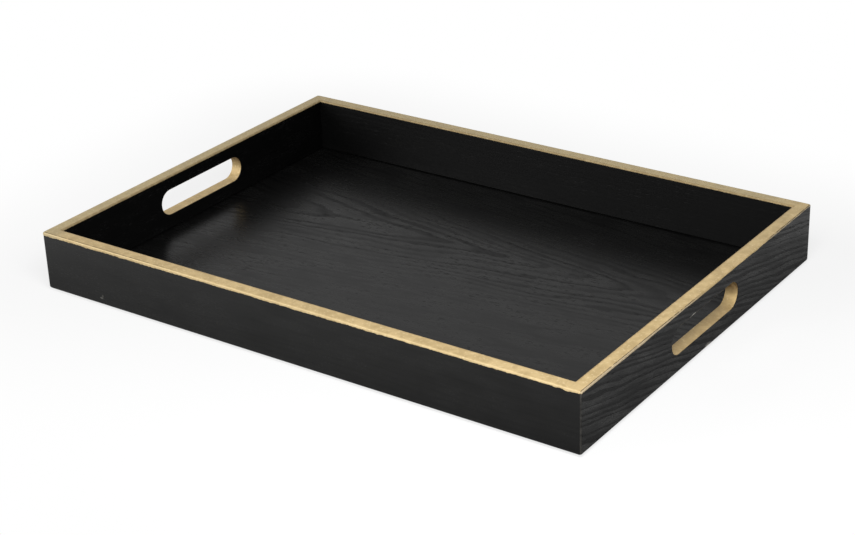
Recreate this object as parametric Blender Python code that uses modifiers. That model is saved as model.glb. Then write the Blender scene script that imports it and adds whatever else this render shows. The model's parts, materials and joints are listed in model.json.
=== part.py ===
"""Serving tray: four mitred boards round a thin veneered floor, with a hand slot through each end.

Lengths are metres and +Z is up. X runs along the tray, the front board is at -Y, and the origin is on the
ground under the middle of the tray.
"""

import math

import bmesh
import bpy
from mathutils import Matrix, Vector

# The tray as a whole, over the boards' outer faces
TRAY_LENGTH = 0.450
TRAY_WIDTH = 0.325
WALL_HEIGHT = 0.045
WALL_THICKNESS = 0.010

# Eased edges of the boards
RIM_ARRIS_RADIUS = 0.0010
FOOT_ARRIS_RADIUS = 0.0020
CORNER_ARRIS_RADIUS = 0.0012

# Hand slot through each end board, its ends full half rounds
SLOT_LENGTH = 0.094
SLOT_HEIGHT = 0.020
SLOT_BELOW_RIM = 0.0113
SLOT_LIP_RADIUS = 0.0008

# Floor panel, let into a rebate round the boards' lower inside edge
PANEL_THICKNESS = 0.0020
REBATE_WIDTH = 0.005

# Loose tongues that lock the mitres; the place is the share of the wall from its outer face inwards
TONGUE_THICKNESS = 0.0020
TONGUE_WIDTH = 0.0060
TONGUE_BELOW_RIM = 0.007
TONGUE_ABOVE_REBATE = 0.004
TONGUE_PLACE_SHARE = 0.62

# Headed brads, driven up through the panel into the boards
BRAD_LENGTH = 0.012
BRAD_DIAMETER = 0.0012
BRAD_POINT_LENGTH = 0.0016
BRAD_HEAD_DIAMETER = 0.0024
BRAD_HEAD_THICKNESS = 0.0004
BRADS_PER_SIDE = 4

# Felt pads under the floor's corners
PAD_DIAMETER = 0.016
PAD_THICKNESS = 0.0015
PAD_EDGE_INSET = 0.006
PAD_ARRIS_RADIUS = 0.0004

# Gap left between pieces that touch or are glued, and the run of a cutter past what it cuts
FIT_GAP = 0.0003
CUT_OVERRUN = 0.002
MERGE_DISTANCE = 0.00001

# Facets
ARC_STEPS = 4
SLOT_END_STEPS = 14
LIP_STEPS = 3
BRAD_STEPS = 12
PAD_STEPS = 36
SMOOTH_ANGLE = math.radians(30)

# Sizes that follow from the ones above
BASE_LEVEL = PAD_THICKNESS + FIT_GAP
REBATE_HEIGHT = PANEL_THICKNESS + FIT_GAP
SLOT_MIDDLE = WALL_HEIGHT - SLOT_BELOW_RIM - SLOT_HEIGHT / 2
PANEL_LENGTH = TRAY_LENGTH - 2 * (WALL_THICKNESS - REBATE_WIDTH + FIT_GAP)
PANEL_WIDTH = TRAY_WIDTH - 2 * (WALL_THICKNESS - REBATE_WIDTH + FIT_GAP)
BRAD_INSET = WALL_THICKNESS - REBATE_WIDTH / 2
TONGUE_INSET = TONGUE_PLACE_SHARE * WALL_THICKNESS
TONGUE_BOTTOM = REBATE_HEIGHT + TONGUE_ABOVE_REBATE
TONGUE_HEIGHT = WALL_HEIGHT - TONGUE_BELOW_RIM - TONGUE_BOTTOM

CORNERS = {
    "front_left": (-1, -1),
    "front_right": (1, -1),
    "back_left": (-1, 1),
    "back_right": (1, 1),
}


def clear_scene():
    for existing in list(bpy.data.objects):
        bpy.data.objects.remove(existing, do_unlink=True)


def new_collection(name):
    collection = bpy.data.collections.new(name)
    bpy.context.scene.collection.children.link(collection)
    return collection


def new_material(name, color, roughness, metallic=0.0):
    material = bpy.data.materials.new(name)
    material.use_nodes = True
    shader = material.node_tree.nodes["Principled BSDF"]
    shader.inputs["Base Color"].default_value = (*color, 1.0)
    shader.inputs["Roughness"].default_value = roughness
    shader.inputs["Metallic"].default_value = metallic
    material.diffuse_color = (*color, 1.0)
    return material


def black_stain(piece_name):
    """Black satin stain over open-grained veneer."""
    return new_material(f"{piece_name}_black_stain", (0.016, 0.016, 0.016), 0.42)


def gold_paint(piece_name):
    """Matt pale gold paint on the rim and in the slots."""
    return new_material(f"{piece_name}_gold_paint", (0.60, 0.44, 0.24), 0.5, 0.35)


def tongue_wood(piece_name):
    """Bare beech ply of a loose tongue."""
    return new_material(f"{piece_name}_ply", (0.55, 0.38, 0.22), 0.7)


def brad_steel(piece_name):
    """Bright drawn steel."""
    return new_material(f"{piece_name}_steel", (0.55, 0.55, 0.56), 0.35, 1.0)


def pad_felt(piece_name):
    """Black felt."""
    return new_material(f"{piece_name}_felt", (0.020, 0.020, 0.022), 0.95)


def mesh_object(name, work, collection):
    """Ends a bmesh as a named object."""
    mesh = bpy.data.meshes.new(name)
    work.to_mesh(mesh)
    work.free()
    made = bpy.data.objects.new(name, mesh)
    collection.objects.link(made)
    return made


def settle(made):
    """Replaces an object's mesh with the one that its modifiers give."""
    graph = bpy.context.evaluated_depsgraph_get()
    graph.update()
    mesh = bpy.data.meshes.new_from_object(made.evaluated_get(graph))
    rough = made.data
    made.modifiers.clear()
    made.data = mesh
    bpy.data.meshes.remove(rough)


def smooth(made):
    made.data.shade_smooth()
    made.data.set_sharp_from_angle(angle=SMOOTH_ANGLE)


def hide_cutter(cutter):
    cutter.hide_render = True
    cutter.display_type = "WIRE"


def cut(made, cutter, operation="DIFFERENCE"):
    modifier = made.modifiers.new(cutter.name, "BOOLEAN")
    modifier.operation = operation
    modifier.solver = "EXACT"
    modifier.object = cutter


def arc(middle, radius, start, end, steps):
    """Points round an arc, its angles in degrees."""
    points = []
    for step in range(steps + 1):
        angle = math.radians(start + (end - start) * step / steps)
        points.append((middle[0] + radius * math.cos(angle), middle[1] + radius * math.sin(angle)))
    return points


def extruded_outline(name, outline, depth, placing, collection):
    """A flat outline in its own XY plane, thickened evenly along its Z, then placed by a matrix."""
    curve = bpy.data.curves.new(name, "CURVE")
    curve.dimensions = "2D"
    curve.fill_mode = "BOTH"
    curve.extrude = depth / 2
    spline = curve.splines.new("POLY")
    spline.points.add(len(outline) - 1)
    for point, (across, up) in zip(spline.points, outline):
        point.co = (across, up, 0, 1)
    spline.use_cyclic_u = True
    drawn = bpy.data.objects.new(name, curve)
    bpy.context.scene.collection.objects.link(drawn)
    graph = bpy.context.evaluated_depsgraph_get()
    graph.update()
    mesh = bpy.data.meshes.new_from_object(drawn.evaluated_get(graph))
    bpy.data.objects.remove(drawn, do_unlink=True)
    bpy.data.curves.remove(curve)

    work = bmesh.new()
    work.from_mesh(mesh)
    bpy.data.meshes.remove(mesh)
    bmesh.ops.remove_doubles(work, verts=work.verts, dist=MERGE_DISTANCE)
    bmesh.ops.transform(work, matrix=placing, verts=work.verts)
    bmesh.ops.recalc_face_normals(work, faces=work.faces)
    return mesh_object(name, work, collection)


def add_box(work, size, middle, turn=0.0):
    """Adds a box to a bmesh, turned about its own upright by an angle in radians."""
    placing = Matrix.Translation(middle) @ Matrix.Rotation(turn, 4, "Z") @ Matrix.Diagonal((*size, 1.0))
    bmesh.ops.create_cube(work, size=1.0, matrix=placing)


def add_bore(work, radius, bottom, top, place):
    """Adds an upright cylinder to a bmesh, between two levels at a place in plan."""
    middle = Matrix.Translation((place[0], place[1], (bottom + top) / 2))
    bmesh.ops.create_cone(work, cap_ends=True, segments=BRAD_STEPS, radius1=radius, radius2=radius,
                          depth=top - bottom, matrix=middle)


def board_profile():
    """Cross-section of every board: outer face at zero, rim at the top, rebate at the lower inside."""
    foot_middle = (FOOT_ARRIS_RADIUS, FOOT_ARRIS_RADIUS)
    outer_rim_middle = (RIM_ARRIS_RADIUS, WALL_HEIGHT - RIM_ARRIS_RADIUS)
    inner_rim_middle = (WALL_THICKNESS - RIM_ARRIS_RADIUS, WALL_HEIGHT - RIM_ARRIS_RADIUS)
    shoulder = WALL_THICKNESS - REBATE_WIDTH
    return [
        *arc(foot_middle, FOOT_ARRIS_RADIUS, 270, 180, ARC_STEPS),
        *arc(outer_rim_middle, RIM_ARRIS_RADIUS, 180, 90, ARC_STEPS),
        *arc(inner_rim_middle, RIM_ARRIS_RADIUS, 90, 0, ARC_STEPS),
        (WALL_THICKNESS, REBATE_HEIGHT),
        (shoulder, REBATE_HEIGHT),
        (shoulder, 0),
    ]


def board_plan(length):
    """Plan of a board: both ends mitred half a glue gap short, and the tray's corners eased."""
    half = length / 2
    retreat = FIT_GAP / math.sqrt(2)
    meeting = math.degrees(math.asin(FIT_GAP / 2 / CORNER_ARRIS_RADIUS))
    right_middle = (half - CORNER_ARRIS_RADIUS, CORNER_ARRIS_RADIUS)
    right_half = [
        *arc(right_middle, CORNER_ARRIS_RADIUS, 270, 315 - meeting, ARC_STEPS),
        (half - WALL_THICKNESS - CUT_OVERRUN - retreat, WALL_THICKNESS + CUT_OVERRUN),
    ]
    left_half = [(-along, across) for along, across in reversed(right_half)]
    return right_half + left_half


def slot_outline():
    """Upright outline of a hand slot: two level edges joined by half rounds."""
    radius = SLOT_HEIGHT / 2
    reach = SLOT_LENGTH / 2 - radius
    return [
        *arc((reach, SLOT_MIDDLE), radius, -90, 90, SLOT_END_STEPS),
        *arc((-reach, SLOT_MIDDLE), radius, 90, 270, SLOT_END_STEPS),
    ]


def outside_slot(place):
    """How far a place lies outside the slot's outline, seen square to the board."""
    radius = SLOT_HEIGHT / 2
    reach = SLOT_LENGTH / 2 - radius
    past_reach = max(abs(place.x) - reach, 0)
    return math.hypot(past_reach, place.z - SLOT_MIDDLE) - radius


def ease_slot_lips(board):
    """Rounds the slot's edge on both faces of an end board."""
    work = bmesh.new()
    work.from_mesh(board.data)
    lips = []
    for edge in work.edges:
        on_outline = all(abs(outside_slot(vert.co)) < MERGE_DISTANCE for vert in edge.verts)
        along_face = abs(edge.verts[0].co.y - edge.verts[1].co.y) < MERGE_DISTANCE
        if on_outline and along_face:
            lips.append(edge)
    bmesh.ops.bevel(work, geom=lips, offset=SLOT_LIP_RADIUS, segments=LIP_STEPS, profile=0.5,
                    affect="EDGES", clamp_overlap=True)
    work.to_mesh(board.data)
    work.free()


def paint_board(board, slotted):
    """Gives the rim and the inside of the slot the second, gold material."""
    mesh = board.data
    mesh.materials.clear()
    mesh.materials.append(black_stain(board.name))
    mesh.materials.append(gold_paint(board.name))
    rim_level = WALL_HEIGHT - RIM_ARRIS_RADIUS - MERGE_DISTANCE
    slot_reach = SLOT_LIP_RADIUS + MERGE_DISTANCE
    for face in mesh.polygons:
        places = [mesh.vertices[number].co for number in face.vertices]
        on_rim = min(place.z for place in places) > rim_level
        in_slot = slotted and max(outside_slot(place) for place in places) < slot_reach
        face.material_index = int(on_rim or in_slot)


def board_joinery_cutter(name, length, brad_places, collection):
    """Tongue grooves in both mitres and a pilot hole over each brad, as one cutter."""
    work = bmesh.new()
    groove = (TONGUE_WIDTH + 2 * FIT_GAP, TONGUE_THICKNESS + 2 * FIT_GAP, TONGUE_HEIGHT + 2 * FIT_GAP)
    for side in (-1, 1):
        middle = Vector((side * (length / 2 - TONGUE_INSET), TONGUE_INSET, TONGUE_BOTTOM + TONGUE_HEIGHT / 2))
        add_box(work, groove, middle, side * math.radians(45))
    for along in brad_places:
        add_bore(work, BRAD_DIAMETER / 2 + FIT_GAP, REBATE_HEIGHT - CUT_OVERRUN, BRAD_LENGTH + FIT_GAP,
                 (along, BRAD_INSET))
    return mesh_object(name, work, collection)


def make_board(name, length, reach, turn, brad_places, slotted, tray, cutters):
    """One wall, modelled with its outer face on X and then turned and moved out to its reach."""
    upright = Matrix.Rotation(math.radians(90), 4, "X")
    profile_placing = Matrix.Rotation(math.radians(90), 4, "Z") @ upright
    board = extruded_outline(name, board_profile(), length, profile_placing, tray)

    plan_placing = Matrix.Translation((0, 0, WALL_HEIGHT / 2))
    plan_depth = WALL_HEIGHT + 2 * CUT_OVERRUN
    plan = extruded_outline(f"{name}_plan", board_plan(length), plan_depth, plan_placing, cutters)
    cut(board, plan, "INTERSECT")
    spent = [plan]
    if slotted:
        slot_placing = Matrix.Translation((0, WALL_THICKNESS / 2, 0)) @ upright
        slot_depth = WALL_THICKNESS + 2 * CUT_OVERRUN
        slot = extruded_outline(f"{name}_slot", slot_outline(), slot_depth, slot_placing, cutters)
        cut(board, slot)
        spent.append(slot)
    settle(board)
    for cutter in spent:
        bpy.data.objects.remove(cutter, do_unlink=True)
    if slotted:
        ease_slot_lips(board)
    paint_board(board, slotted)
    smooth(board)

    joinery = board_joinery_cutter(f"{name}_joinery", length, brad_places, cutters)
    joinery.parent = board
    hide_cutter(joinery)
    cut(board, joinery)
    board.modifiers.new("flat_faces", "WEIGHTED_NORMAL").keep_sharp = True
    board.matrix_world = Matrix.Rotation(turn, 4, "Z") @ Matrix.Translation((0, -reach, BASE_LEVEL))
    return board


def side_brad_places():
    """Places along a long board, evenly spread over the panel."""
    return [PANEL_LENGTH * ((number + 0.5) / BRADS_PER_SIDE - 0.5) for number in range(BRADS_PER_SIDE)]


def end_brad_places():
    """Places along an end board, halfway between the slot and the panel's corner."""
    place = (SLOT_LENGTH + PANEL_WIDTH) / 4
    return [-place, place]


def brad_positions():
    """Every brad's place in plan, by the board that it is driven into."""
    side_across = TRAY_WIDTH / 2 - BRAD_INSET
    end_along = TRAY_LENGTH / 2 - BRAD_INSET
    return {
        "front": [(place, -side_across) for place in side_brad_places()],
        "back": [(place, side_across) for place in side_brad_places()],
        "left": [(-end_along, place) for place in end_brad_places()],
        "right": [(end_along, place) for place in end_brad_places()],
    }


def make_boards(tray, cutters):
    side_reach = TRAY_WIDTH / 2
    end_reach = TRAY_LENGTH / 2
    sides = side_brad_places()
    ends = end_brad_places()
    make_board("front_side", TRAY_LENGTH, side_reach, 0, sides, False, tray, cutters)
    make_board("back_side", TRAY_LENGTH, side_reach, math.radians(180), sides, False, tray, cutters)
    make_board("left_end", TRAY_WIDTH, end_reach, math.radians(-90), ends, True, tray, cutters)
    make_board("right_end", TRAY_WIDTH, end_reach, math.radians(90), ends, True, tray, cutters)


def cut_in_panel(panel, purpose, radius, top, cutters):
    """Cuts a round hole up to a level at every brad, from under the panel."""
    work = bmesh.new()
    for places in brad_positions().values():
        for place in places:
            add_bore(work, radius, BASE_LEVEL - CUT_OVERRUN, top, place)
    cutter = mesh_object(f"{panel.name}_{purpose}", work, cutters)
    hide_cutter(cutter)
    cut(panel, cutter)


def make_panel(tray, cutters):
    """Floor panel, flush with the boards' lower edges, bored and countersunk from below for the brads."""
    work = bmesh.new()
    add_box(work, (PANEL_LENGTH, PANEL_WIDTH, PANEL_THICKNESS), (0, 0, BASE_LEVEL + PANEL_THICKNESS / 2))
    panel = mesh_object("base_panel", work, tray)
    panel.data.materials.append(black_stain(panel.name))

    head_top = BASE_LEVEL + BRAD_HEAD_THICKNESS + FIT_GAP
    panel_top = BASE_LEVEL + PANEL_THICKNESS
    cut_in_panel(panel, "bores", BRAD_DIAMETER / 2 + FIT_GAP, panel_top + CUT_OVERRUN, cutters)
    cut_in_panel(panel, "head_seats", BRAD_HEAD_DIAMETER / 2 + FIT_GAP, head_top, cutters)


def make_tongues(tray):
    """A loose tongue across each mitre, square to the joint."""
    size = (TONGUE_WIDTH, TONGUE_THICKNESS, TONGUE_HEIGHT)
    for corner, (side_x, side_y) in CORNERS.items():
        work = bmesh.new()
        middle = (side_x * (TRAY_LENGTH / 2 - TONGUE_INSET), side_y * (TRAY_WIDTH / 2 - TONGUE_INSET),
                  BASE_LEVEL + TONGUE_BOTTOM + TONGUE_HEIGHT / 2)
        add_box(work, size, middle, -side_x * side_y * math.radians(45))
        tongue = mesh_object(f"tongue_{corner}", work, tray)
        tongue.data.materials.append(tongue_wood(tongue.name))


def turned_solid(name, profile, steps):
    """A solid turned about Z from a profile of radius and height, as a mesh."""
    mesh = bpy.data.meshes.new(name)
    edges = [(number, number + 1) for number in range(len(profile) - 1)]
    mesh.from_pydata([(radius, 0, height) for radius, height in profile], edges, [])
    turned = bpy.data.objects.new(name, mesh)
    bpy.context.scene.collection.objects.link(turned)
    screw = turned.modifiers.new("turn", "SCREW")
    screw.steps = steps
    screw.render_steps = steps
    screw.use_merge_vertices = True
    screw.merge_threshold = MERGE_DISTANCE
    settle(turned)
    solid = turned.data
    bpy.data.objects.remove(turned, do_unlink=True)
    return solid


def make_brads(tray):
    """Headed brads, each head flush with the panel's underside."""
    shank = BRAD_DIAMETER / 2
    head = BRAD_HEAD_DIAMETER / 2
    mesh = turned_solid("brad", [
        (0, BRAD_LENGTH),
        (shank, BRAD_LENGTH - BRAD_POINT_LENGTH),
        (shank, BRAD_HEAD_THICKNESS),
        (head, BRAD_HEAD_THICKNESS),
        (head, 0),
        (0, 0),
    ], BRAD_STEPS)
    mesh.materials.append(brad_steel("brad"))
    for board, places in brad_positions().items():
        for number, (along, across) in enumerate(places, 1):
            brad = bpy.data.objects.new(f"brad_{board}_{number}", mesh)
            tray.objects.link(brad)
            brad.location = (along, across, BASE_LEVEL)
    smooth(brad)


def make_pads(tray):
    """Round felt pads, their lower edge softened, under the floor's corners."""
    radius = PAD_DIAMETER / 2
    edge_middle = (radius - PAD_ARRIS_RADIUS, PAD_ARRIS_RADIUS)
    profile = [(0, PAD_THICKNESS), (radius, PAD_THICKNESS)]
    profile += arc(edge_middle, PAD_ARRIS_RADIUS, 0, -90, LIP_STEPS)
    profile += [(0, 0)]
    for corner, (side_x, side_y) in CORNERS.items():
        mesh = turned_solid(f"pad_{corner}", profile, PAD_STEPS)
        pad = bpy.data.objects.new(f"pad_{corner}", mesh)
        tray.objects.link(pad)
        pad.data.materials.append(pad_felt(pad.name))
        pad.location = (side_x * (TRAY_LENGTH / 2 - PAD_EDGE_INSET - radius),
                        side_y * (TRAY_WIDTH / 2 - PAD_EDGE_INSET - radius), 0)
        smooth(pad)


def main():
    clear_scene()
    tray = new_collection("serving_tray")
    cutters = new_collection("cutters")
    make_boards(tray, cutters)
    make_panel(tray, cutters)
    make_tongues(tray)
    make_brads(tray)
    make_pads(tray)


main()
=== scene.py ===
"""Serving tray of black stained veneer with a gold painted rim: its finished surfaces, round the frame.

Lengths are metres and +Z is up. X runs along the tray, the front board is at -Y, and the origin is on the
ground under the middle of the tray.
"""

import json
import math
from contextlib import contextmanager
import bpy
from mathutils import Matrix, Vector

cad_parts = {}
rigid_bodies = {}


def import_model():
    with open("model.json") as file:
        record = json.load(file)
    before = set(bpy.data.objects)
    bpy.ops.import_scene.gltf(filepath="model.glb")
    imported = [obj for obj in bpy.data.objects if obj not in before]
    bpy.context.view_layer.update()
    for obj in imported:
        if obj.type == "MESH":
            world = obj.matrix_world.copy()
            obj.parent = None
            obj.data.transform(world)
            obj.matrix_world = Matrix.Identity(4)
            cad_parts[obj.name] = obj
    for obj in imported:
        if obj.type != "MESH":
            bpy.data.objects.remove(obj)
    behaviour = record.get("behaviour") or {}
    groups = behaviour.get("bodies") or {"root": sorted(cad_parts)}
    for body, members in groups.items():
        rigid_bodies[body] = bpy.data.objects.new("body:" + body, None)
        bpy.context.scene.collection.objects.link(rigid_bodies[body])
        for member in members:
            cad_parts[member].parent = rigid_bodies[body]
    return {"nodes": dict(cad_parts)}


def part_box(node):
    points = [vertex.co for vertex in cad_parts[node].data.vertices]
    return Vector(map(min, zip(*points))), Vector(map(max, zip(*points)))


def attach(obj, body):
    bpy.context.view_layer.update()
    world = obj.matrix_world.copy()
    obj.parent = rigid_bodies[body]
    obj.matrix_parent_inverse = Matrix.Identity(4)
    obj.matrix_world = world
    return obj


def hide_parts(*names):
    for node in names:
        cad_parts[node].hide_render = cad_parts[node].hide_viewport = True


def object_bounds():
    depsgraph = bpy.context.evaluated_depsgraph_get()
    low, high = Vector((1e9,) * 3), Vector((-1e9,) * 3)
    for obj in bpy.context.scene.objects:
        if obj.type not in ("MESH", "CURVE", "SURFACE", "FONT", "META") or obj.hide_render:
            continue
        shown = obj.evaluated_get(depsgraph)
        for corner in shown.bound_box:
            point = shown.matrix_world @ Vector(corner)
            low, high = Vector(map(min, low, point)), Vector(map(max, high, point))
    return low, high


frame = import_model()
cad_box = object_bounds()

from types import SimpleNamespace

import bmesh
import bpy
from mathutils import Matrix, Vector

# Levels and reaches, read from the frame
HALF_LENGTH = cad_box[1].x
HALF_WIDTH = cad_box[1].y
RIM_LEVEL = cad_box[1].z
FOOT_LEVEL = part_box("front_side")[0].z
FLOOR_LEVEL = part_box("base_panel")[1].z
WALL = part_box("front_side")[1].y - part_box("front_side")[0].y

# Boards
REBATE_WIDTH = 0.005
FIT_GAP = 0.0003
SHADOW_GAP = 0.0009
RIM_ARRIS = 0.0010
FOOT_ARRIS = 0.0020
CORNER_ARRIS = 0.0012
ARRIS_STEPS = 5
MITRE_GAP = 0.00003

# Hand slots
SLOT_LENGTH = 0.094
SLOT_HEIGHT = 0.020
SLOT_BELOW_RIM = 0.0113
SLOT_LIP = 0.0005
SLOT_PAINTED_LIP_SHARE = 0.08
SLOT_STEPS = 96
SLOT_LEVEL = RIM_LEVEL - SLOT_BELOW_RIM - SLOT_HEIGHT / 2

# Hidden joinery
GROOVE_LENGTH = 0.0066
GROOVE_WIDTH = 0.0026
PILOT_RADIUS = 0.0009
PILOT_STEPS = 16

# Gold paint: its film, how far it runs down the walls, and how ragged its lower edge is
FILM = 0.00012
FILM_SPARE = 0.000002
PAINT_BELOW_ARRIS = {"outer_edge": 0.0005, "inner_edge": 0.0002}
PAINT_SLOPES = Vector((0.0018, 0.0018, 0))
PAINT_CORNER_CUT = 0.0020
PAINT_CUTS = 24
LONG_RUN = 5 * WALL
PAINT_RAGS = {
    "outer_edge": ((0.0011, 0.0009), (0.0140, 0.0007)),
    "inner_edge": ((0.0030, 0.0002), (0.0200, 0.0002)),
}
DRIP_WIDTH = 0.0030
DRIP_TIP = DRIP_WIDTH / 5
DRIPS = (
    (0.2065, 0.0005),
    (0.2150, 0.0006),
    (0.1960, 0.0003),
)

# Gold paint's colours
GOLD_DEEP = (0.415, 0.300, 0.138, 1)
GOLD_PALE = (0.530, 0.395, 0.198, 1)
GOLD_FLECK = (0.66, 0.530, 0.310, 1)
GOLD_PIT = (0.28, 0.195, 0.080, 1)
# A painted highlight on the front board's outer arris
GOLD_PAINTED_HIGHLIGHT = (0.63, 0.510, 0.310, 1)
# Thin paint on the inner arris, and painted shade on the slots' roofs
GOLD_THIN_AND_SHADED = (0.16, 0.100, 0.042, 1)
# Painted shade on the far rims: the gold greyer on the left board and towards the back
GOLD_FAR_SHADE = (0.25, 0.270, 0.200, 1)

# How much of each of those colours shows, at its strongest
FLECK_SHARE = 0.7
PIT_SHARE = 0.3
# A painted highlight: how much of it shows on the front board's outer arris
ARRIS_HIGHLIGHT_SHARE = 0.3
THIN_ARRIS_SHARE = 0.55
# Painted shade on the slots' roofs, and the right slot's sill darker
ROOF_SHADE_SHARE = 0.92
SILL_DARKENING_SHARE = 0.28
# Painted shade on the far rims: its share, and what is left of it at the right end
FAR_SHADE_SHARE = 0.27
FAR_SHADE_AT_RIGHT_SHARE = 0.3

# Gold paint's clouds, flecks, brush strokes and thin patches, and what they do to its shine and relief
GOLD_CLOUD_SIZE = 0.007
GOLD_CLOUDS = (0.3, 0.7)
GOLD_FLECK_SIZE = 0.0016
GOLD_FLECKS = (0.54, 0.72)
BRUSH_LENGTH = 0.004
BRUSH_WIDTH = 0.0008
BRUSH_SHARE = 0.35
BRUSH_DEPTH = -0.6
THIN_PATCH_SIZE = 0.003
THIN_PATCHES = (0.3, 0.6)
THIN_PATCH_LEAST = 0.6
# How much lower the painted shade on the slots' roofs starts in the right slot
RIGHT_ROOF_SHADE_DROP = 0.003
GOLD_ROUGHNESS = (0.42, 0.54)
GOLD_METALLIC = (0.25, 0.15)
GOLD_RELIEF = (0.5, 0.00008)

# Veneer seam that shows through the gold paint
SEAM_DEPTH = 0.0009
SEAM_WIDTH = 0.00042
SEAM_SIDES = (0.3 * SEAM_WIDTH, 0.7 * SEAM_WIDTH)
SEAM_BREAKS = (0.30, 0.50)
SEAM_TONE = (0.060, 0.043, 0.024, 1)
SEAM_EDGE = (0.40, 0.350, 0.290, 1)
SEAM_EDGE_SHARE = 0.45
RIGHT_SEAM_NEAR = (-0.030, 0.005)
RIGHT_SEAM_FAR = (0.085, 0.100)
FRONT_SEAM = (-0.150, -0.060)

# Stained veneer: its hues, its open pores, and its rubbed edges
STAIN_HUE = (1, 1, 0.98)
KNOCK_HUE = (1, 0.96, 0.88)
PORE_TONE = (0.0005, 0.0005, 0.0005, 1)
PORE_SHARE = 0.5
RUBBED_TONE = (0.080, 0.076, 0.068, 1)
RUBBED_EDGE_SHARE = 0.9
RUBBED_AMOUNT = 0.6

# Its figure: the share of its reach where it starts to fade, what is left past it, and its bands
FIGURE_FADE_SHARE = 0.4
FIGURE_FAR_SHARE = 0.25
FIGURE_BANDS = (0.3, 0.65)

# What its clouds and rings do to its pores and its stain
STAIN_CLOUD_SIZE = 0.012
STAIN_CLOUD_STRETCH = (0.35, 1.0, 1.0)
PORES_BY_CLOUD = 2.2
PORES_BY_RING = 0.7
RING_DARKENING = -0.9

# Its satin and its relief
SATIN_SPREAD = 0.20
PORE_DULLING = 0.25
PORE_DEPTH = -1.2
RING_DEPTH = -0.6
GRAIN_STRENGTH = 0.7
GRAIN_RELIEF = 0.00030

# Small pale knocks in the stain: the place of each, how far it reaches, and its tone
FRONT_KNOCKS = (
    ((-0.1720, -0.1624, 0.0072), (0.0022, 0.0020, 0.0009), 0.09),
    ((-0.1706, -0.1624, 0.0090), (0.0010, 0.0020, 0.0014), 0.06),
)
RIGHT_KNOCKS = (
    # The first two are pale marks along the slot's upper lip
    ((0.2249, -0.0187, 0.0357), (0.0020, 0.0065, 0.0012), 0.30),
    ((0.2249, -0.0100, 0.0352), (0.0020, 0.0060, 0.0008), 0.12),
    ((0.2249, 0.0040, 0.0028), (0.0035, 0.0072, 0.0030), 0.20),
)

# The ways of the grain: along it, and across it on the board's face
LENGTHWISE = ((1, 0, 0), (0, 0, 1))
CROSSWISE = ((0, 1, 0), (0, 0, 1))
LYING_FLAT = ((1, 0, 0), (0, 1, 0))

# A veneer's look where its board says nothing else
PLAIN_VENEER = {
    "gloss": 0.12,
    "satin_roughness": 0.30,
    "ring_width": 0.004,
    "heart_depth": 0.010,
    "flare": 0.0,
    "waver": 0.008,
    "figure": 0.6,
    "figure_reach": 1.0,
    "pore_length": 0.008,
    "pore_width": 0.0009,
    "thread_length": 0.018,
    "flecks": 0.5,
    "streak": 0.8,
    "cloudiness": 1.3,
    "paling": 0.0,
    "relief": GRAIN_RELIEF,
    "marks": (),
}

# Each veneer: how its grain lies, its slope in degrees, where its heart line is, the stain's darkest and
# lightest tone, and what else sets it apart
VENEERS = {
    # The front's falloff along X is painted light: lighter at the left end, darker at the right
    "front": {
        "lie": LENGTHWISE, "slope": 0.5, "heart": (0.0, 0.0, -0.030), "tones": (0.003, 0.020),
        "gloss": 0.17, "figure": 0.07, "pore_length": 0.005, "flecks": 0.18, "streak": 0.12,
        "cloudiness": 0.4, "paling": -0.9, "relief": GRAIN_RELIEF / 3, "marks": FRONT_KNOCKS,
    },
    # The back board's low tones are partly painted shade: its stain is darker than the front's where less
    # light reaches it
    "back": {
        "lie": LENGTHWISE, "slope": 0, "heart": (0.0, 0.0, 0.080), "tones": (0.001, 0.005),
        "gloss": 0.23, "satin_roughness": 0.38, "figure": 0.5, "flecks": 0.0, "streak": 0.9,
        "relief": GRAIN_RELIEF / 5,
    },
    # The left board's tones, the darkest, are partly painted shade: its inner face gets little light
    "left": {
        "lie": CROSSWISE, "slope": 3, "heart": (0.0, 0.0, -0.040), "tones": (0.0005, 0.003),
        "flecks": 0.2, "streak": 0.4, "relief": GRAIN_RELIEF / 2,
    },
    "right": {
        "lie": CROSSWISE, "slope": -14, "heart": (0.0, 0.0, 0.150), "tones": (0.0003, 0.023),
        "gloss": 0.145, "ring_width": 0.0045, "waver": 0.012, "figure": 1.85, "figure_reach": 0.24,
        "thread_length": 0.008, "flecks": 0.35, "marks": RIGHT_KNOCKS,
    },
    "floor": {
        "lie": LYING_FLAT, "slope": 0, "heart": (0.0, 0.048, 0.0), "tones": (0.0005, 0.0070),
        "gloss": 0.107, "satin_roughness": 0.27, "ring_width": 0.0065, "flare": 0.14, "waver": 0.018,
        "figure": 0.72, "figure_reach": 0.060, "pore_length": 0.010, "pore_width": 0.0012,
        "thread_length": 0.009, "flecks": 0.20, "streak": 0.31, "cloudiness": 0.75,
        "relief": GRAIN_RELIEF / 4,
    },
}

# Felt pads
FELT_STEPS = 72
FELT_ARRIS = 0.0005
FELT_ARRIS_STEPS = 3
FELT_RINGS = 4
FELT_DISH = 0.00012
FELT_DARK = (0.010, 0.010, 0.011, 1)
FELT_LIGHT = (0.035, 0.034, 0.036, 1)
FELT_CLOUD_SIZE = 0.004
FELT_FIBRE_SIZE = 0.0003
FELT_ROUGHNESS = (0.88, 0.98)
FELT_RELIEF = (0.8, 0.0002)

# Bare ply of the tongues, and how it is turned at each corner
PLY_DARK = (0.46, 0.31, 0.17, 1)
PLY_LIGHT = (0.62, 0.45, 0.27, 1)
PLY_PORE = (0.25, 0.15, 0.08, 1)
PLY_PORE_LENGTH = 0.0025
PLY_PORE_WIDTH = 0.0002
PLY_PORE_SHARE = 0.5
PLY_ROUGHNESS = (0.60, 0.75)
PLY_RELIEF = (0.4, 0.0001)
PLY_TURNS = {"front_left": 45, "back_right": 45, "front_right": -45, "back_left": -45}

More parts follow.
